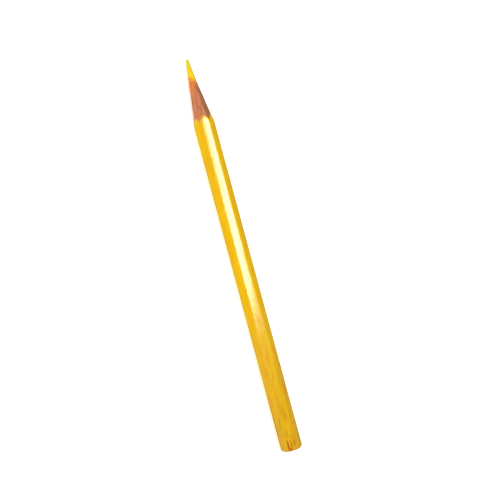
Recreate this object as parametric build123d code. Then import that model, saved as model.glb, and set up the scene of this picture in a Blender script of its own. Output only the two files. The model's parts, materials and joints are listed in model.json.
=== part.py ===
from build123d import *
from math import cos, radians, sin, sqrt
import os

# A hexagonal wood-cased marking pencil, sharpened at one end and sealed at the other.
# Frame: +X along the pencil towards the point, +Z up, lying on one flat on the plane Z = 0.
# The origin is on that plane, halfway along the pencil. Millimetres.

# the whole pencil
overallLength = 147.5
acrossFlats = 7.0
cornerRadius = 0.65

# sharpened end: a long point with slightly hollow sides
pointRadius = 0.6
pointHalfAngle = 5.9
sharpenedLength = 26.8

# core, and the dried glue that holds the core and the two slats together
coreDiameter = 3.0
coreGlueThickness = 0.06
seamGlueThickness = 0.08

# coats over the wood, measured at right angles to its surface
undercoatThickness = 0.06
lacquerThickness = 0.10

# sealed end: the rim is rounded off, then dipped
endRounding = 1.7
endDipThickness = 0.18

# space between the widest corner and the tools that round and sharpen the ends
turningClearance = 0.08
cuttingRoom = 5.0

# sizes and places that follow from the ones above
buttX = -overallLength / 2
tipX = overallLength / 2
dippedFromX = buttX + endDipThickness
axisHeight = acrossFlats / 2
coreRadius = coreDiameter / 2
grooveRadius = coreRadius + coreGlueThickness
undercoatInset = lacquerThickness
woodInset = lacquerThickness + undercoatThickness
cornerReach = acrossFlats / sqrt(3) - cornerRadius * (1 / cos(radians(30)) - 1)
turningRadius = cornerReach + turningClearance
pencilAxis = Axis((0, 0, axisHeight), (1, 0, 0))
sideView = Plane(origin=(0, 0, axisHeight), x_dir=(1, 0, 0), z_dir=(0, -1, 0))


def crossSection(fromX):
    """The plane square to the pencil at a place along it, seen with +Y across and +Z up."""
    return Plane(origin=(fromX, 0, axisHeight), x_dir=(0, 1, 0), z_dir=(1, 0, 0))


def hexagonalBar(inset):
    """A bar with flats above and below, its surface a little under the finished one."""
    fromX = buttX - cuttingRoom
    hexagon = RegularPolygon(acrossFlats / 2 - inset, side_count=6, major_radius=False)
    outline = fillet(hexagon.vertices(), cornerRadius - inset)
    return extrude(crossSection(fromX) * outline, amount=tipX + cuttingRoom - fromX)


def roundBar(radius):
    """A round bar on the pencil's axis, longer than the pencil at both ends."""
    fromX = buttX - cuttingRoom
    return extrude(crossSection(fromX) * Circle(radius), amount=tipX + cuttingRoom - fromX)


def turnedShape(endX):
    """What rounding the end at endX and sharpening the other end leave, as a turned solid."""
    halfAngle = radians(pointHalfAngle)
    roundingEnd = (endX + endRounding, turningRadius)
    pointStart = (tipX - sharpenedLength, turningRadius)
    pointEnd = (tipX - pointRadius * (1 - sin(halfAngle)), pointRadius * cos(halfAngle))
    outline = [
        Line((endX, 0), (endX, turningRadius - endRounding)),
        TangentArc((endX, turningRadius - endRounding), roundingEnd, tangent=(0, 1)),
        Line(roundingEnd, pointStart),
        TangentArc(pointEnd, pointStart, tangent=(-cos(halfAngle), sin(halfAngle))),
        TangentArc(pointEnd, (tipX, 0), tangent=(cos(halfAngle), -sin(halfAngle))),
        Line((tipX, 0), (endX, 0)),
    ]
    return revolve(sideView * make_face(outline), axis=pencilAxis)


def markingCore():
    """The solid stick of colour that runs the whole length of the wood."""
    return roundBar(coreRadius) & turnedShape(dippedFromX)


def coreGlue():
    """The film of glue between the core and its groove in the two slats."""
    return (roundBar(grooveRadius) - roundBar(coreRadius)) & turnedShape(dippedFromX)


def seamGap():
    """The space between the slats, from one corner of the pencil to the opposite one."""
    return Pos(0, 0, axisHeight) * Box(
        overallLength + 2 * cuttingRoom, acrossFlats * 2, seamGlueThickness
    )


def halfSpace(side):
    """Everything above the pencil's axis for side 1, or below it for side -1."""
    return Pos(0, 0, axisHeight + side * acrossFlats / 2) * Box(
        overallLength + 2 * cuttingRoom, acrossFlats * 2, acrossFlats
    )


def slat(side):
    """One half of the wooden case, with a half-round groove for the core."""
    half = hexagonalBar(woodInset) & halfSpace(side)
    return (half - seamGap() - roundBar(grooveRadius)) & turnedShape(dippedFromX)


def seamGlue(side):
    """The strip of glue between the slats, on the +Y side for side 1 or the -Y side for side -1."""
    strip = hexagonalBar(woodInset) & seamGap() & turnedShape(dippedFromX)
    besideCore = Pos(0, side * acrossFlats, axisHeight) * Box(
        overallLength + 2 * cuttingRoom, acrossFlats * 2, acrossFlats
    )
    return (strip & besideCore) - roundBar(grooveRadius)


def coat(outerInset, innerInset):
    """A coat all round the barrel, from the sealed end to where the point is cut."""
    tube = hexagonalBar(outerInset) - hexagonalBar(innerInset)
    return tube & turnedShape(dippedFromX)


def endDip():
    """The coat that seals the rounded end and finishes level with the lacquer."""
    return (hexagonalBar(0) & turnedShape(buttX)) - turnedShape(dippedFromX)


pieces = {
    "marking_core": markingCore(),
    "core_glue": coreGlue(),
    "upper_slat": slat(1),
    "lower_slat": slat(-1),
    "seam_glue_left": seamGlue(1),
    "seam_glue_right": seamGlue(-1),
    "undercoat": coat(undercoatInset, woodInset),
    "lacquer": coat(0, undercoatInset),
    "end_dip": endDip(),
}

os.makedirs("parts", exist_ok=True)
for name, piece in pieces.items():
    piece.label = name
    export_step(piece, f"parts/{name}.step")
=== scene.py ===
import json
from math import atan2, cos, hypot, pi, radians, sin, sqrt, tan

import bpy
from mathutils import Matrix, Vector

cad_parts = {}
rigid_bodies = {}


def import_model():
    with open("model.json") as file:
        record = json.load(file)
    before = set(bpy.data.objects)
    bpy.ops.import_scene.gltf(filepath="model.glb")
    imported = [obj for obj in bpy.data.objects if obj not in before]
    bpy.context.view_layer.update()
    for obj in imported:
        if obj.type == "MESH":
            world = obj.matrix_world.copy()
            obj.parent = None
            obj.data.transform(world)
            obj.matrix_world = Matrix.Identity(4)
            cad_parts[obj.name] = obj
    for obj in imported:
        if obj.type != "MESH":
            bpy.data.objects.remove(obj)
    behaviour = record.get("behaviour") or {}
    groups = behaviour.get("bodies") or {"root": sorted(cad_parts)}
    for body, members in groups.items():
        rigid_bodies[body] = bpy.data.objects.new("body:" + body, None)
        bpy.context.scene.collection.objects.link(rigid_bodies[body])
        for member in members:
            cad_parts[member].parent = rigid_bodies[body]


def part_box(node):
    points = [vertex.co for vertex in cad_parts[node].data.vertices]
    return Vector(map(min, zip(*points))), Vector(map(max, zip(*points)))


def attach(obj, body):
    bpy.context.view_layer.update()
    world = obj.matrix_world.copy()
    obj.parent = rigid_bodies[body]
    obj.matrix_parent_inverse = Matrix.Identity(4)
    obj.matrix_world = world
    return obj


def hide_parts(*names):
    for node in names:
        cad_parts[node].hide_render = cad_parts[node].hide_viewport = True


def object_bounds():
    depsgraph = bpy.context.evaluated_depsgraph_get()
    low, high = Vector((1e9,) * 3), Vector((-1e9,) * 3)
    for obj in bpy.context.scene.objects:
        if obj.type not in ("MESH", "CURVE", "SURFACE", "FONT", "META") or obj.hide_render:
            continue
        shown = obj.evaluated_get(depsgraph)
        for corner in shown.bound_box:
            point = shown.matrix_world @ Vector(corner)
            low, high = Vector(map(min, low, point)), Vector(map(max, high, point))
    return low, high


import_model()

# A sharpened wood-cased marking pencil with a yellow core, lying on one of its flats.
# +X runs along it towards the point, +Z is up. Metres, with mm for small sizes.
mm = 0.001
cadLow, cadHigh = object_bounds()

# places and thicknesses that the frame gives
buttX, tipX = cadLow.x, cadHigh.x
lacquerLow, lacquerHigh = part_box("lacquer")
acrossFlats = lacquerHigh.z - lacquerLow.z
axisZ = (lacquerLow.z + lacquerHigh.z) / 2
cornerReach = (lacquerHigh.y - lacquerLow.y) / 2
cornerRadius = (acrossFlats / sqrt(3) - cornerReach) / (1 / cos(radians(30)) - 1)
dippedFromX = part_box("marking_core")[0].x  # where the sealing coat on the end begins


def halfHeight(node):
    low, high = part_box(node)
    return (high.z - low.z) / 2


undercoatInset = acrossFlats / 2 - halfHeight("undercoat")
woodInset = lacquerHigh.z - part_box("upper_slat")[1].z
coreRadius = halfHeight("marking_core")
grooveRadius = halfHeight("core_glue")
seamHalf = halfHeight("seam_glue_left")

# the stock each layer is cut from runs past the ends before it is turned
beyond = 3 * mm
tiny = 0.01 * mm
woodStockX, paintStockX, capStockX = tipX - 4 * mm, tipX - 16 * mm, buttX + 5 * mm
print("frame read, pencil", round((tipX - buttX) / mm, 1), "mm long")


# modelling helpers: select in code, then use the ordinary tools
def deselectAll():
    for thing in bpy.context.scene.objects:
        thing.select_set(False)


def makeActive(thing):
    deselectAll()
    thing.select_set(True)
    bpy.context.view_layer.objects.active = thing


def openMesh(thing, kind="VERT"):
    makeActive(thing)
    bpy.ops.object.mode_set(mode="EDIT")
    bpy.ops.mesh.select_mode(type=kind)
    bpy.ops.mesh.select_all(action="DESELECT")


def closeMesh():
    bpy.ops.object.mode_set(mode="OBJECT")


def selectEdges(thing, wanted):
    openMesh(thing, "EDGE")
    closeMesh()
    points = thing.data.vertices
    for edge in thing.data.edges:
        first, second = (points[i].co for i in edge.vertices)
        edge.select = wanted(first, second)
    bpy.ops.object.mode_set(mode="EDIT")


def applyPlace(thing):
    makeActive(thing)
    bpy.ops.object.transform_apply(location=True, rotation=True, scale=True)


def modify(thing, kind, **settings):
    # adds one modifier and applies it at once
    makeActive(thing)
    modifier = thing.modifiers.new(kind.lower(), kind)
    for name, value in settings.items():
        setattr(modifier, name, value)
    bpy.ops.object.modifier_apply(modifier=modifier.name)


def combine(thing, other, operation, keepOther=False):
    modify(thing, "BOOLEAN", object=other, operation=operation, solver="EXACT")
    if not keepOther:
        bpy.data.objects.remove(other)
    return thing


def cleanMesh(thing, recalculate=False):
    openMesh(thing)
    bpy.ops.mesh.select_all(action="SELECT")
    bpy.ops.mesh.remove_doubles(threshold=tiny / 50)
    if recalculate:
        bpy.ops.mesh.normals_make_consistent(inside=False)
    closeMesh()


def roughen(thing, strength, scale, stretch=(1, 1, 1), depth=2, group=""):
    # moves the surface in and out by a soft noise, stretched along the pencil if asked
    texture = bpy.data.textures.new("roughness", "CLOUDS")
    texture.noise_scale, texture.noise_depth = scale, depth
    space = bpy.data.objects.new("space", None)
    bpy.context.scene.collection.objects.link(space)
    space.scale = stretch
    bpy.context.view_layer.update()
    modify(thing, "DISPLACE", texture=texture, texture_coords="OBJECT",
           texture_coords_object=space, strength=strength, mid_level=0.5, vertex_group=group)
    bpy.data.objects.remove(space)


def markGroup(thing, name, wanted):
    group = thing.vertex_groups.new(name=name)
    group.add([v.index for v in thing.data.vertices if wanted(v.co)], 1.0, "REPLACE")
    return name


# the turned outline: a rounded butt, a straight body and a long, slightly hollow point
turning = {
    "tipRadius": 0.6 * mm,
    "halfAngle": radians(5.9),
    "pointLength": 26.8 * mm,
    "endRounding": 1.7 * mm,
    "clearance": 0.08 * mm,
    "pointRings": 110,
    "roundingRings": 8,
    "tipRings": 7,
    "sides": 168,
}


def turnedOutline(endX):
    # (x, radius) pairs from the middle of the butt to the very tip
    bodyRadius = cornerReach + turning["clearance"]
    rounding, tipRadius = turning["endRounding"], turning["tipRadius"]
    half = turning["halfAngle"]
    outline = [(endX, 0.0)]
    for i in range(turning["roundingRings"] + 1):
        a = pi / 2 * i / turning["roundingRings"]
        outline.append((endX + rounding * (1 - cos(a)),
                        bodyRadius - rounding * (1 - sin(a))))
    startX, startR = tipX - turning["pointLength"], bodyRadius
    endPointX, endPointR = tipX - tipRadius * (1 - sin(half)), tipRadius * cos(half)
    # arc that leaves the tip at the half angle and reaches the body, run backwards
    chordX, chordR = startX - endPointX, startR - endPointR
    chord = hypot(chordX, chordR)
    bend = atan2(chordR, -chordX) - half
    radius = chord / (2 * sin(bend))
    point = []
    for i in range(turning["pointRings"] + 1):
        a = 2 * bend * i / turning["pointRings"]
        forward, side = radius * sin(a), radius * (1 - cos(a))
        point.append((endPointX - forward * cos(half) - side * sin(half),
                      endPointR + forward * sin(half) + side * cos(half)))
    outline += reversed(point)
    for i in range(1, turning["tipRings"] + 1):
        a = (pi / 2 - half) * i / turning["tipRings"] + half
        outline.append((tipX - tipRadius * (1 - sin(a)), tipRadius * cos(a)))
    outline[-1] = (tipX, 0.0)
    return outline


def turnedBlank(name, endX):
    # one point is pushed along the outline, then the line is spun round the pencil's axis
    deselectAll()
    outline = turnedOutline(endX)
    bpy.ops.mesh.primitive_plane_add(size=mm, location=(0, 0, 0))
    blank = bpy.context.object
    blank.name = name
    openMesh(blank)
    bpy.ops.mesh.select_all(action="SELECT")
    bpy.ops.mesh.merge(type="CENTER")
    bpy.ops.transform.translate(value=(outline[0][0], 0, axisZ + outline[0][1]))
    for (x, r), (nextX, nextR) in zip(outline, outline[1:]):
        bpy.ops.mesh.extrude_region_move(
            TRANSFORM_OT_translate={"value": (nextX - x, 0, nextR - r)})
    bpy.ops.mesh.select_all(action="SELECT")
    bpy.ops.mesh.spin(steps=turning["sides"], angle=2 * pi, center=(0, 0, axisZ), axis=(1, 0, 0))
    closeMesh()
    cleanMesh(blank, recalculate=True)
    return blank


def nudgeRings(blank, ringX, sideways, reach, widen):
    # pushes the rings at one place sideways, or widens them, and lets their neighbours follow
    openMesh(blank)
    closeMesh()
    for point in blank.data.vertices:
        point.select = abs(point.co.x - ringX) < mm
    bpy.ops.object.mode_set(mode="EDIT")
    follow = {"use_proportional_edit": True, "proportional_edit_falloff": "SMOOTH",
              "proportional_size": reach}
    if sideways:
        bpy.ops.transform.translate(value=(0, sideways, 0), **follow)
    if widen != 1.0:
        bpy.ops.transform.resize(value=(1, widen, widen), center_override=(ringX, 0, axisZ),
                                 **follow)
    closeMesh()


def hexagonalBar(name, inset, fromX, toX, lengthCuts=(), acrossCuts=0, cornerSteps=5, crown=0.0):
    # built standing up, then laid along X with flats above and below
    deselectAll()
    inRadius = acrossFlats / 2 - inset
    bpy.ops.mesh.primitive_cylinder_add(vertices=6, radius=inRadius / cos(radians(30)),
                                        depth=toX - fromX, location=(0, 0, 0))
    bar = bpy.context.object
    bar.name = name
    selectEdges(bar, lambda a, b: abs(a.z - b.z) > mm)
    bpy.ops.mesh.bevel(offset=(cornerRadius - inset) * tan(radians(30)), segments=cornerSteps,
                       profile=0.5)
    closeMesh()
    if acrossCuts:
        selectEdges(bar, lambda a, b: abs(a.z - b.z) < tiny and (a - b).length > 2 * mm)
        bpy.ops.mesh.subdivide(number_cuts=acrossCuts)
        closeMesh()
    for cuts in lengthCuts:
        selectEdges(bar, lambda a, b: abs(a.z - b.z) > tiny)
        bpy.ops.mesh.subdivide(number_cuts=cuts)
        closeMesh()
    if crown:
        modify(bar, "CAST", cast_type="CYLINDER", factor=crown, size=inRadius,
               use_radius_as_size=False, use_z=False)
    bar.rotation_euler = (0, pi / 2, 0)
    bar.location = ((fromX + toX) / 2, 0, axisZ)
    applyPlace(bar)
    return bar


def roundBar(name, radius, fromX, toX, sides=144):
    deselectAll()
    bpy.ops.mesh.primitive_cylinder_add(
        vertices=sides, radius=radius, depth=toX - fromX,
        location=((fromX + toX) / 2, 0, axisZ), rotation=(0, pi / 2, 0))
    bar = bpy.context.object
    bar.name = name
    applyPlace(bar)
    return bar


def block(name, low, high):
    deselectAll()
    low, high = Vector(low), Vector(high)
    bpy.ops.mesh.primitive_cube_add(size=1, location=(low + high) / 2)
    thing = bpy.context.object
    thing.name, thing.scale = name, high - low
    applyPlace(thing)
    return thing


def copyOf(thing, name):
    copy = thing.copy()
    copy.data = thing.data.copy()
    copy.name = name
    bpy.context.scene.collection.objects.link(copy)
    return copy


def finishPiece(piece, node, material, smoothAngle=35):
    cleanMesh(piece)
    makeActive(piece)
    bpy.ops.object.shade_smooth_by_angle(angle=radians(smoothAngle))
    piece.data.materials.clear()
    piece.data.materials.append(material)
    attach(piece, "root")
    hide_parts(node)
    print("  piece", piece.name, len(piece.data.polygons), "faces")


# marks of use: (place on the pencil, half sizes, turn about X, turn about Z), all in mm and degrees
wear = {
    "cracks": [
        ((-71.3, 1.40, 7.0), (1.75, 0.11, 0.20), 0, 3),
        ((-71.0, 0.25, 7.0), (1.40, 0.075, 0.15), 0, -5),
        ((-70.9, -0.95, 7.0), (1.30, 0.07, 0.14), 0, -11),
        ((-68.4, -0.45, 7.0), (1.10, 0.045, 0.10), 0, -8),
        ((-67.2, 0.80, 7.0), (1.30, 0.045, 0.10), 0, 4),
        ((-71.9, 3.05, 5.25), (0.95, 0.06, 0.12), -60, 0),
        ((-71.7, -2.95, 1.63), (1.15, 0.07, 0.17), 120, 0),
        ((-71.5, 0.4, 0.0), (1.30, 0.08, 0.15), 0, 4),
    ],
    "chips": [
        ((-73.35, 0.75, 6.35), (0.34, 0.52, 0.30), 0, 0),
        ((-73.3, 1.75, 6.1), (0.26, 0.30, 0.26), 0, 20),
        ((-73.25, -2.3, 5.6), (0.22, 0.40, 0.22), 0, -10),
        ((-73.2, -1.6, 0.95), (0.24, 0.40, 0.26), 0, 10),
        ((-43.3, -3.9, 3.75), (0.55, 0.16, 0.30), 0, 0),
        ((-20.4, 3.93, 3.3), (0.34, 0.10, 0.20), 0, 0),
        ((17.5, -1.95, 0.05), (0.42, 0.16, 0.11), 0, 12),
    ],
    "roughness": 0.06 * mm,
    "roughnessScale": 0.35 * mm,
}


def wearCutter():
    # every mark is a long or round lump, and the lumps are merged into one cutter
    cutter = None
    for place, size, turnX, turnZ in wear["cracks"] + wear["chips"]:
        deselectAll()
        bpy.ops.mesh.primitive_ico_sphere_add(subdivisions=4, radius=mm,
                                              location=Vector(place) * mm)
        lump = bpy.context.object
        lump.scale = size
        lump.rotation_euler = (radians(turnX), 0, radians(turnZ))
        applyPlace(lump)
        roughen(lump, wear["roughness"], wear["roughnessScale"], depth=3)
        cutter = combine(cutter, lump, "UNION") if cutter else lump
    cutter.name = "wearCutter"
    return cutter


# how each layer's cut surface differs from the smooth turned one
cutSurface = {
    "paint": {"torn": 0.055 * mm, "tornScale": 0.6 * mm},
    "wood": {"fibre": 0.055 * mm, "fibreScale": 0.30 * mm,
             "wave": 0.17 * mm, "waveScale": 1.9 * mm},
    "core": {"wave": 0.05 * mm, "waveScale": 1.3 * mm,
             "grit": 0.018 * mm, "gritScale": 0.30 * mm},
    # not cut quite square: (back from the tip, sideways, reach, widening)
    "nudges": [
        (9 * mm, 0.10 * mm, 8 * mm, 1.0),
        (24 * mm, -0.07 * mm, 7 * mm, 1.0),
        (26 * mm, 0.0, 3 * mm, 1.045),
    ],
}

# the point leans one way by the core and the other way by the paint
paintBlank = turnedBlank("paintBlank", dippedFromX)
for fromTip, sideways, reach, widen in cutSurface["nudges"]:
    nudgeRings(paintBlank, tipX - fromTip, sideways, reach, widen)
woodBlank = copyOf(paintBlank, "woodBlank")
coreBlank = copyOf(paintBlank, "coreBlank")
bodyEndX = tipX - turning["pointLength"]
cut = cutSurface["paint"]
onPoint = markGroup(paintBlank, "point", lambda co: co.x > bodyEndX)
roughen(paintBlank, cut["torn"], cut["tornScale"], depth=3, group=onPoint)
cut = cutSurface["wood"]
onPoint = markGroup(woodBlank, "point", lambda co: co.x > bodyEndX)
roughen(woodBlank, cut["fibre"], cut["fibreScale"], stretch=(14, 1, 1), group=onPoint)
roughen(woodBlank, cut["wave"], cut["waveScale"], stretch=(2, 1, 1), group=onPoint)
cut = cutSurface["core"]
onPoint = markGroup(coreBlank, "point", lambda co: bodyEndX < co.x < tipX - 2 * tiny)
roughen(coreBlank, cut["wave"], cut["waveScale"], stretch=(2.5, 1, 1), group=onPoint)
roughen(coreBlank, cut["grit"], cut["gritScale"], stretch=(3, 1, 1), group=onPoint)
print("turned blanks ready")


# materials: a class wraps a socket so that masks are written as sums
class Field:
    def __init__(self, finish, socket):
        self.finish, self.socket = finish, socket

    def join(self, operation, left, right):
        return self.finish.add("ShaderNodeMath", {"operation": operation}, {0: left, 1: right})

    def __add__(self, other):
        return self.join("ADD", self, other)

    def __radd__(self, other):
        return self.join("ADD", other, self)

    def __sub__(self, other):
        return self.join("SUBTRACT", self, other)

    def __mul__(self, other):
        return self.join("MULTIPLY", self, other)

    def __rmul__(self, other):
        return self.join("MULTIPLY", other, self)

    def __pow__(self, other):
        return self.join("POWER", self, other)

    def __abs__(self):
        return self.join("ABSOLUTE", self, 0.0)

    def upTo(self, other):
        return self.join("MINIMUM", self, other)

    def atLeast(self, other):
        return self.join("MAXIMUM", self, other)


def colour(red, green, blue):
    # screen colours, 0 to 255, as the linear values that sockets take
    linear = [c / 255 / 12.92 if c <= 10 else ((c / 255 + 0.055) / 1.055) ** 2.4
              for c in (red, green, blue)]
    return (*linear, 1.0)


mixFactor, mixFirst, mixSecond, mixResult = 0, 6, 7, 2  # colour sockets of the Mix node


class Finish:
    def __init__(self, name, **fixed):
        self.material = bpy.data.materials.new(name)
        self.material.use_nodes = True
        self.tree = self.material.node_tree
        self.shader = next(n for n in self.tree.nodes if n.type == "BSDF_PRINCIPLED")
        for socket, value in fixed.items():
            self.shader.inputs[socket.replace("_", " ")].default_value = value
        coordinates = self.add("ShaderNodeTexCoord", output="Object")
        # millimetres from the middle of the pencil's axis
        centred = self.add("ShaderNodeVectorMath", {"operation": "SUBTRACT"},
                           {0: coordinates, 1: (0, 0, axisZ)})
        self.place = self.add("ShaderNodeVectorMath", {"operation": "SCALE"},
                              {0: centred, "Scale": 1 / mm})
        self.x, self.y, self.z = (
            self.add("ShaderNodeSeparateXYZ", {}, {0: self.place}, output=i) for i in range(3))
        self.radius = (self.y * self.y + self.z * self.z) ** 0.5

    def add(self, kind, settings=None, sockets=None, output=0):
        node = self.tree.nodes.new(kind)
        for name, value in (settings or {}).items():
            if name == "stops":
                elements = node.color_ramp.elements
                while len(elements) < len(value):
                    elements.new(1.0)
                for element, (position, tint) in zip(elements, value):
                    element.position, element.color = position, tint
            else:
                setattr(node, name, value)
        for name, value in (sockets or {}).items():
            if isinstance(value, Field):
                self.tree.links.new(value.socket, node.inputs[name])
            else:
                node.inputs[name].default_value = value
        return Field(self, node.outputs[output])

    def stretched(self, along, across):
        return self.add("ShaderNodeVectorMath", {"operation": "MULTIPLY"},
                        {0: self.place, 1: (along, across, across)})

    def noise(self, along, across, detail=3.0, rough=0.55, distortion=0.0):
        return self.add("ShaderNodeTexNoise", {}, {
            "Vector": self.stretched(along, across), "Scale": 1.0,
            "Detail": detail, "Roughness": rough, "Distortion": distortion})

    def ease(self, value, low, high):
        # 0 below low, 1 above high, and the other way round when low is the greater
        return self.add("ShaderNodeMapRange", {"interpolation_type": "SMOOTHSTEP"},
                        {"Value": value, "From Min": low, "From Max": high})

    def ramp(self, value, *stops):
        return self.add("ShaderNodeValToRGB", {"stops": stops}, {0: value})

    def blend(self, mask, first, second):
        return self.add("ShaderNodeMix", {"data_type": "RGBA"},
                        {mixFactor: mask, mixFirst: first, mixSecond: second}, output=mixResult)

    def bump(self, height, distance, strength=1.0):
        return self.add("ShaderNodeBump", {},
                        {"Height": height, "Distance": distance, "Strength": strength})

    def spot(self, x, y, z, halfX, halfY, halfZ):
        # 1 at a place on the pencil, fading to 0 at the half sizes away from it, all in mm
        away = (((self.x - x) * (1 / halfX)) ** 2 + ((self.y - y) * (1 / halfY)) ** 2
                + ((self.z - z) * (1 / halfZ)) ** 2)
        return self.ease(away, 1.0, 0.0)

    def feed(self, **sockets):
        for socket, value in sockets.items():
            self.tree.links.new(value.socket, self.shader.inputs[socket.replace("_", " ")])
        return self.material


lacquerLook = {
    "bright": colour(247, 201, 6),
    "deep": colour(243, 191, 6),
    "dull": colour(233, 181, 8),
    "orange": colour(248, 158, 24),
    # dirt colour, also used for the painted shade on the two side corners
    "dirtAndEdgeShade": colour(132, 92, 8),
    "stain": colour(150, 70, 5),
    # grime colour, also used as painted shade along the rim of the end
    "grimeAndRimShade": colour(74, 66, 20),
    "rust": colour(206, 92, 14),
    # places along the pencil, in mm from its middle, and roughnesses
    "dullFrom": -14.0,
    "dullTo": -66.0,
    "shineFrom": -22.0,
    "shineGone": -36.0,
    "streaksFrom": -54.0,
    "streaksFull": -70.0,
    "fineFrom": -5.0,
    "fineFull": -62.0,
    "gloss": 0.13,
    "dullRoughness": 0.45,
    "shineLoss": 0.20,
    "lineLoss": 0.07,
    "patchLoss": 0.10,
    # (place from the middle of the axis, half sizes, strength)
    "rusts": [
        ((-72.9, 0.85, 3.1), (0.95, 0.85, 1.1), 0.9),
        ((-52.0, -2.9, 2.0), (3.4, 0.35, 1.0), 0.55),
    ],
    # the first spot is grime in a nick; the two at the end's rim are painted shade under the
    # rounded rim
    "grimeSpotsAndRimShade": [
        ((-43.3, -3.75, 0.3), (1.1, 0.6, 0.9), 1.0),
        ((-73.45, -2.0, 1.6), (0.30, 2.6, 2.2), 1.0),
        ((-73.45, 1.3, 1.9), (0.30, 1.0, 2.0), 1.0),
    ],
}


def spots(paint, places):
    total = 0.0
    for place, size, strength in places:
        total = total + paint.spot(*place, *size) * strength
    return total.upTo(1.0)


def lacquerMaterial(name, extraDull=0.0):
    look = lacquerLook
    paint = Finish(name, IOR=1.5, Specular_IOR_Level=0.3, Specular_Tint=(1.0, 0.92, 0.68, 1.0))
    soft = paint.noise(0.10, 0.35, detail=2)
    cloudy = paint.noise(0.30, 0.6, detail=4)
    drawn = paint.noise(0.05, 2.6, detail=3, rough=0.6)  # streaks left along the pencil
    tone = paint.blend(paint.ease(soft, 0.35, 0.65), look["bright"], look["deep"])
    worn = paint.ease(paint.x + (cloudy - 0.5) * 26, look["dullFrom"], look["dullTo"])
    worn = (worn + extraDull).upTo(1.0)
    tone = paint.blend(worn * (0.45 + 0.5 * drawn), tone, look["dull"])
    patches = paint.ease(paint.noise(0.22, 0.55, detail=2, distortion=0.6), 0.55, 0.68)
    tone = paint.blend(patches * (0.18 + 0.42 * worn), tone, look["orange"])
    corners = paint.ease(paint.radius + (cloudy - 0.5) * 0.25, 3.76, 3.93)
    tone = paint.blend(corners * 0.22, tone, look["orange"])
    # painted shade and handling dirt: the two side corners are darkened to draw a dark outline
    # along the pencil
    sideCornerShadeAndDirt = paint.ease(abs(paint.y) + (drawn - 0.5) * 0.35, 3.60, 3.86)
    tone = paint.blend(sideCornerShadeAndDirt * 0.34, tone, look["dirtAndEdgeShade"])
    # lengthwise dirt, which stops at the flat of the end
    offTheEnd = paint.ease(paint.x, -73.6, -73.1)
    streaks = paint.ease(drawn, 0.52, 0.64) * paint.ease(
        paint.x + (cloudy - 0.5) * 20, look["streaksFrom"], look["streaksFull"])
    tone = paint.blend(streaks * offTheEnd * 0.5, tone, look["dirtAndEdgeShade"])
    fine = paint.ease(paint.noise(0.12, 5.0, detail=2), 0.53, 0.64) * paint.ease(
        paint.x, look["fineFrom"], look["fineFull"])
    tone = paint.blend(fine * offTheEnd * 0.42, tone, look["dirtAndEdgeShade"])
    # each crack has a dark stain and a wider rusty halo, stronger round the wide ones
    halo, stains = [], []
    for place, size, _, _ in wear["cracks"]:
        long, wide = size[0], size[1]
        middle = (place[0] - 0.15, place[1], place[2] - axisZ / mm)
        share = 1.0 if wide > 0.1 else 0.7 if wide > 0.065 else 0.4
        halo.append((middle, (long * 1.5, wide * 5.5, 1.0), share))
        stains.append((middle, (long * 1.15, wide * 2.1, 1.0), share))
    tone = paint.blend(spots(paint, halo) * 0.5, tone, look["rust"])
    tone = paint.blend(spots(paint, stains) * 0.85, tone, look["stain"])
    tone = paint.blend(spots(paint, look["rusts"]), tone, look["rust"])
    # grime in the nick, and painted shade along the rim of the end
    tone = paint.blend(spots(paint, look["grimeSpotsAndRimShade"]) * 0.7, tone, look["grimeAndRimShade"])
    rubbed = paint.noise(0.5, 1.6, detail=5, rough=0.65)
    # a thin rubbed line down the top flat, and a rubbed patch where the shine dies away
    line = paint.ease(abs(paint.y + 0.28 + (soft - 0.5) * 0.9), 0.30, 0.06)
    line = line * paint.ease(paint.x, 46.0, 20.0)
    patch = paint.ease(paint.y + (cloudy - 0.5) * 0.8, 1.15, 0.35)
    patch = patch * paint.ease(paint.x, -6.0, -26.0)
    faded = paint.ease(paint.x + (cloudy - 0.5) * 6, look["shineFrom"], look["shineGone"])
    topLoss = (line * look["lineLoss"]).atLeast(patch * look["patchLoss"])
    topLoss = (topLoss + faded * look["shineLoss"]) * paint.ease(paint.z, 3.0, 3.3)
    roughness = (look["gloss"] + worn * (look["dullRoughness"] - look["gloss"])
                 + (rubbed - 0.5) * (0.06 + 0.18 * worn) + corners * 0.06 + topLoss)
    skin = paint.noise(0.7, 0.9, detail=2) * 0.6 + drawn * 0.7 * (0.25 + worn) + rubbed * 0.12
    return paint.feed(Base_Color=tone, Roughness=roughness.atLeast(0.08),
                      Normal=paint.bump(skin, 0.05 * mm, 0.6))


woodLook = {
    "pale": colour(226, 150, 110),
    "middle": colour(208, 126, 84),
    "dark": colour(162, 90, 52),
    "fibre": colour(120, 66, 38),
    "smear": colour(240, 132, 52),
    # painted shade colour for the right-hand side of the cut point
    "paintedShadeSide": colour(160, 112, 66),
    "cracked": colour(168, 88, 20),
}
seenInCracks = (-58.0, -62.0)  # towards the butt the layers only show in the cracks


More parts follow.
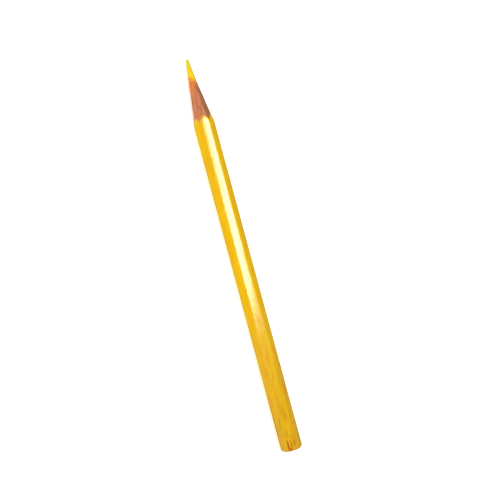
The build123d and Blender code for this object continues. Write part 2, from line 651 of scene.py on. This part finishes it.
def woodMaterial(name, turn=0.0):
    look = woodLook
    wood = Finish(name, IOR=1.45, Specular_IOR_Level=0.35)
    fibres = wood.noise(0.22, 4.2, detail=5, rough=0.62, distortion=0.3)
    rings = wood.noise(0.22, 0.9 + turn, detail=3, distortion=0.8)
    pores = wood.noise(0.45, 11.0, detail=2)
    tone = wood.ramp(rings * 0.55 + fibres * 0.45,
                     (0.30, look["dark"]), (0.46, look["middle"]), (0.62, look["pale"]))
    # painted shade: the right-hand side of the cut wood is darkened, and its dark fibres and pores
    # are made stronger there
    side = wood.ease(wood.y + (fibres - 0.5) * 1.6 + (wood.x - 58.0) * -0.055, -0.40, -1.15)
    tone = wood.blend(side * 0.8, tone, look["paintedShadeSide"])
    tone = wood.blend(wood.ease(fibres, 0.50, 0.64) * (0.22 + 0.4 * side), tone, look["dark"])
    tone = wood.blend(wood.ease(pores, 0.53, 0.66) * (0.35 + 0.3 * side), tone, look["fibre"])
    coreDust = wood.ease(wood.x + (fibres - 0.5) * 6.0 + wood.y * 1.1, 60.5, 65.4)
    tone = wood.blend(coreDust * 0.85, tone, look["smear"])
    tone = wood.blend(wood.ease(wood.x, *seenInCracks), tone, look["cracked"])
    chatter = wood.add("ShaderNodeTexWave", {"wave_type": "BANDS", "bands_direction": "X"},
                       {"Vector": wood.stretched(1, 0.18), "Scale": 0.9,
                        "Distortion": 2.0, "Detail": 2.0})
    height = fibres * 0.6 + pores * 0.3 + chatter * 0.18
    return wood.feed(Base_Color=tone, Roughness=0.56 + fibres * 0.28,
                     Normal=wood.bump(height, 0.07 * mm, 0.8))


coreLook = {
    "yellow": colour(252, 228, 4),
    "shade": colour(248, 208, 6),
    "green": colour(230, 224, 22),
    "pit": colour(204, 142, 10),
    # painted shade colour for the right-hand side of the cut core
    "paintedShadeOlive": colour(206, 168, 16),
    "ember": colour(240, 140, 38),
}


def coreMaterial():
    look = coreLook
    lead = Finish("leadYellow", IOR=1.45, Specular_IOR_Level=0.4)
    scraped = lead.noise(0.35, 3.6, detail=4)
    clouds = lead.noise(0.5, 0.9, detail=2)
    pits = lead.noise(3.2, 5.0, detail=3)
    tone = lead.blend(lead.ease(clouds, 0.35, 0.68), look["yellow"], look["shade"])
    # painted shade: the right-hand side of the cut core is darkened to olive
    side = lead.ease(lead.y + (scraped - 0.5) * 0.9, -0.35, -0.95)
    tone = lead.blend(side * 0.7, tone, look["paintedShadeOlive"])
    tone = lead.blend(lead.ease(lead.x + (clouds - 0.5) * 3, 69.5, 72.8) * 0.8, tone, look["green"])
    tone = lead.blend(lead.ease(pits, 0.60, 0.74) * 0.5, tone, look["pit"])
    # wood dust, which reaches further out on one side
    wooded = lead.x - lead.y * 1.1 + (scraped - 0.5) * 2.5
    tone = lead.blend(lead.ease(wooded, 67.0, 64.6) * 0.85, tone, look["ember"])
    return lead.feed(Base_Color=tone, Roughness=0.38 + scraped * 0.25,
                     Normal=lead.bump(scraped * 0.6 + pits * 0.5, 0.05 * mm, 0.8))


def speckledMaterial(name, light, dark, scale, roughness, dirty=False):
    # for the thin layers: undercoat and dried glue
    layer = Finish(name, IOR=1.48)
    grain = layer.noise(scale * 0.4, scale, detail=4)
    broad = layer.noise(0.3, 0.8, detail=2)
    tone = layer.blend(layer.ease(grain * 0.6 + broad * 0.4, 0.38, 0.62), light, dark)
    if dirty:
        tone = layer.blend(layer.ease(layer.x, *seenInCracks), tone, woodLook["cracked"])
    return layer.feed(Base_Color=tone, Roughness=roughness + (grain - 0.5) * 0.3,
                      Normal=layer.bump(grain, 0.02 * mm))


yellowLacquer = lacquerMaterial("lacquerYellow")
yellowDip = lacquerMaterial("dippedYellow", extraDull=0.25)
undercoatPaint = speckledMaterial("undercoatPeach", colour(238, 186, 134), colour(214, 138, 84),
                                  3.0, 0.55, dirty=True)
driedGlue = speckledMaterial("driedGlue", colour(246, 176, 70), colour(226, 140, 58), 4.0, 0.45)
print("materials ready")

# the pieces, from the outside in
cutter = wearCutter()

# lacquer and undercoat: each the outer hexagon less the one underneath, turned to the outline
skinShape = {"acrossCuts": 5, "cornerSteps": 8, "crown": 0.08}
skinWave = {"height": 0.016 * mm, "scale": 2.6 * mm}
skinRipple = {"height": 0.010 * mm, "scale": 0.9 * mm, "fromX": -20 * mm}


def coatPiece(outer, innerInset, node, material):
    combine(outer, cutter, "DIFFERENCE", keepOther=True)
    combine(outer, hexagonalBar("inner", innerInset, buttX - 2 * beyond, paintStockX + beyond),
            "DIFFERENCE")
    combine(outer, paintBlank, "INTERSECT", keepOther=True)
    finishPiece(outer, node, material)


coat = hexagonalBar("lacquer_coat", 0.0, buttX - beyond, paintStockX, lengthCuts=(15, 15),
                    **skinShape)
roughen(coat, skinWave["height"], skinWave["scale"], stretch=(3, 1, 1))
roughen(coat, skinRipple["height"], skinRipple["scale"], stretch=(6, 1, 1),
        group=markGroup(coat, "butt", lambda co: co.x < skinRipple["fromX"]))
coatPiece(coat, undercoatInset, "lacquer", yellowLacquer)
coatPiece(hexagonalBar("undercoat_layer", undercoatInset, buttX - beyond, paintStockX,
                       lengthCuts=(15,)), woodInset, "undercoat", undercoatPaint)

# the dipped end: a cap between the outer rounding and the one underneath
dip = {"unevenness": 0.05 * mm, "scale": 0.9 * mm, "length": 2 * mm}
cap = hexagonalBar("dipped_end", 0.0, buttX - beyond, capStockX, lengthCuts=(15,), **skinShape)
outerBlank = turnedBlank("outerBlank", buttX)
roughen(outerBlank, dip["unevenness"], dip["scale"],
        group=markGroup(outerBlank, "butt", lambda co: co.x < buttX + dip["length"]))
combine(cap, outerBlank, "INTERSECT")
combine(cap, turnedBlank("innerBlank", dippedFromX), "DIFFERENCE")
combine(cap, cutter, "DIFFERENCE", keepOther=True)
finishPiece(cap, "end_dip", yellowDip)

# the two cedar slats, each half a hexagon with a groove for the core
slats = [
    {"side": 1, "name": "slat_upper", "node": "upper_slat", "look": "cedarUpper", "turn": 0.0},
    {"side": -1, "name": "slat_lower", "node": "lower_slat", "look": "cedarLower", "turn": 0.15},
]
for half in slats:
    slat = hexagonalBar(half["name"], woodInset, buttX - beyond, woodStockX, lengthCuts=(15,))
    edgeZ, farZ = axisZ + half["side"] * seamHalf, axisZ + half["side"] * acrossFlats
    combine(slat, block("half", (buttX - 2 * beyond, -acrossFlats, min(edgeZ, farZ)),
                        (tipX, acrossFlats, max(edgeZ, farZ))), "INTERSECT")
    combine(slat, roundBar("groove", grooveRadius, buttX - 2 * beyond, tipX), "DIFFERENCE")
    combine(slat, woodBlank, "INTERSECT", keepOther=True)
    combine(slat, cutter, "DIFFERENCE", keepOther=True)
    finishPiece(slat, half["node"], woodMaterial(half["look"], half["turn"]),
                smoothAngle=50)

# glue: a film round the core, and a strip on each side where the slats meet
film = roundBar("core_glue_film", grooveRadius, buttX - beyond, woodStockX)
combine(film, roundBar("bore", coreRadius, buttX - 2 * beyond, tipX), "DIFFERENCE")
combine(film, woodBlank, "INTERSECT", keepOther=True)
finishPiece(film, "core_glue", driedGlue)
outerY = cornerReach - woodInset
for side, name, node in ((1, "glue_line_left", "seam_glue_left"),
                         (-1, "glue_line_right", "seam_glue_right")):
    strip = block(name, (buttX - beyond, min(0, side * outerY), axisZ - seamHalf),
                  (woodStockX, max(0, side * outerY), axisZ + seamHalf))
    combine(strip, roundBar("groove", grooveRadius, buttX - 2 * beyond, tipX), "DIFFERENCE")
    combine(strip, woodBlank, "INTERSECT", keepOther=True)
    finishPiece(strip, node, driedGlue)

core = roundBar("core_stick", coreRadius, buttX - beyond, tipX + beyond)
combine(core, coreBlank, "INTERSECT", keepOther=True)
finishPiece(core, "marking_core", coreMaterial(), smoothAngle=50)

for thing in (cutter, paintBlank, woodBlank, coreBlank):
    bpy.data.objects.remove(thing)
print("pieces ready")

# pale floor
deselectAll()
bpy.ops.mesh.primitive_plane_add(size=6, location=(0, 0, 0))
floor = bpy.context.object
floor.name = "floor"
floor.visible_glossy = False  # the paint does not mirror the white floor
paper = Finish("floorPaper", IOR=1.45, Specular_IOR_Level=0.1, Emission_Color=(1, 1, 1, 1),
               Emission_Strength=0.44)
mottle = paper.noise(0.02, 0.02, detail=3)
shade = paper.blend(mottle, (0.99, 0.99, 0.99, 1), (0.97, 0.97, 0.97, 1))
floor.data.materials.append(paper.feed(Base_Color=shade, Roughness=0.75 + mottle * 0.1))

# camera: where it looks, how it leans in degrees, and how the pencil is turned in view
shot = {
    "aim": Vector((-0.42, -4.14, 3.5)) * mm,
    "distance": 306.1 * mm,
    "leanToButt": 3.4,
    "leanToLeft": 7.9,
    "turn": -15.24,
    "lens": 60.4,
}
bpy.ops.object.camera_add()
camera = bpy.context.object
camera.name = "camera"
back = Vector((-tan(radians(shot["leanToButt"])), tan(radians(shot["leanToLeft"])), 1))
back.normalize()
pointing = Vector((cos(radians(shot["turn"])), sin(radians(shot["turn"])), 0))
up = (pointing - pointing.dot(back) * back).normalized()
right = up.cross(back)
camera.matrix_world = Matrix.Translation(shot["aim"] + back * shot["distance"]) @ Matrix(
    (right, up, back)).transposed().to_4x4()
camera.data.lens = shot["lens"]
camera.data.clip_start = 0.01
bpy.context.scene.camera = camera
bpy.context.scene.view_settings.view_transform = "Standard"

# light: a white room, a long strip that draws the streak on the top flat, and a soft side light
studio = {
    "room": 0.34,
    "seen": 0.97,
    "mirrored": 0.09,
    "strip": {"place": (0.242, -0.272, 2.0), "size": (0.60, 0.165), "power": 21.0},
    "stripTurn": -13.6,
    "side": {"place": (0.05, 0.85, 0.75), "size": (0.9, 0.6), "power": 3.4,
             "tint": (1.0, 0.84, 0.55)},
}


def softLight(name, place, size, power, tint=(1, 1, 1)):
    # a soft rectangle that faces the pencil
    lamp = bpy.data.lights.new(name, "AREA")
    lamp.shape, lamp.size, lamp.size_y = "RECTANGLE", *size
    lamp.energy, lamp.color = power, tint
    holder = bpy.data.objects.new(name, lamp)
    holder.location = place
    holder.rotation_euler = Vector(place).to_track_quat("Z", "Y").to_euler()
    bpy.context.scene.collection.objects.link(holder)
    return holder


softLight("stripLight", **studio["strip"]).rotation_euler = (0, 0, radians(studio["stripTurn"]))
softLight("sideLight", **studio["side"])
world = bpy.data.worlds.new("room")
world.use_nodes = True
room = world.node_tree.nodes["Background"]
room.inputs["Color"].default_value = (1, 1, 1, 1)
# the wall is white to look at, lights the room softly and stays dim in reflections
sight = world.node_tree.nodes.new("ShaderNodeLightPath")
before = None
for ray, strength in (("Is Camera Ray", studio["seen"]), ("Is Glossy Ray", studio["mirrored"])):
    level = world.node_tree.nodes.new("ShaderNodeMix")
    level.inputs["A"].default_value, level.inputs["B"].default_value = studio["room"], strength
    world.node_tree.links.new(sight.outputs[ray], level.inputs["Factor"])
    if before:
        world.node_tree.links.new(before, level.inputs["A"])
    before = level.outputs["Result"]
world.node_tree.links.new(before, room.inputs["Strength"])
bpy.context.scene.world = world
print("stage ready")

bpy.context.view_layer.update()
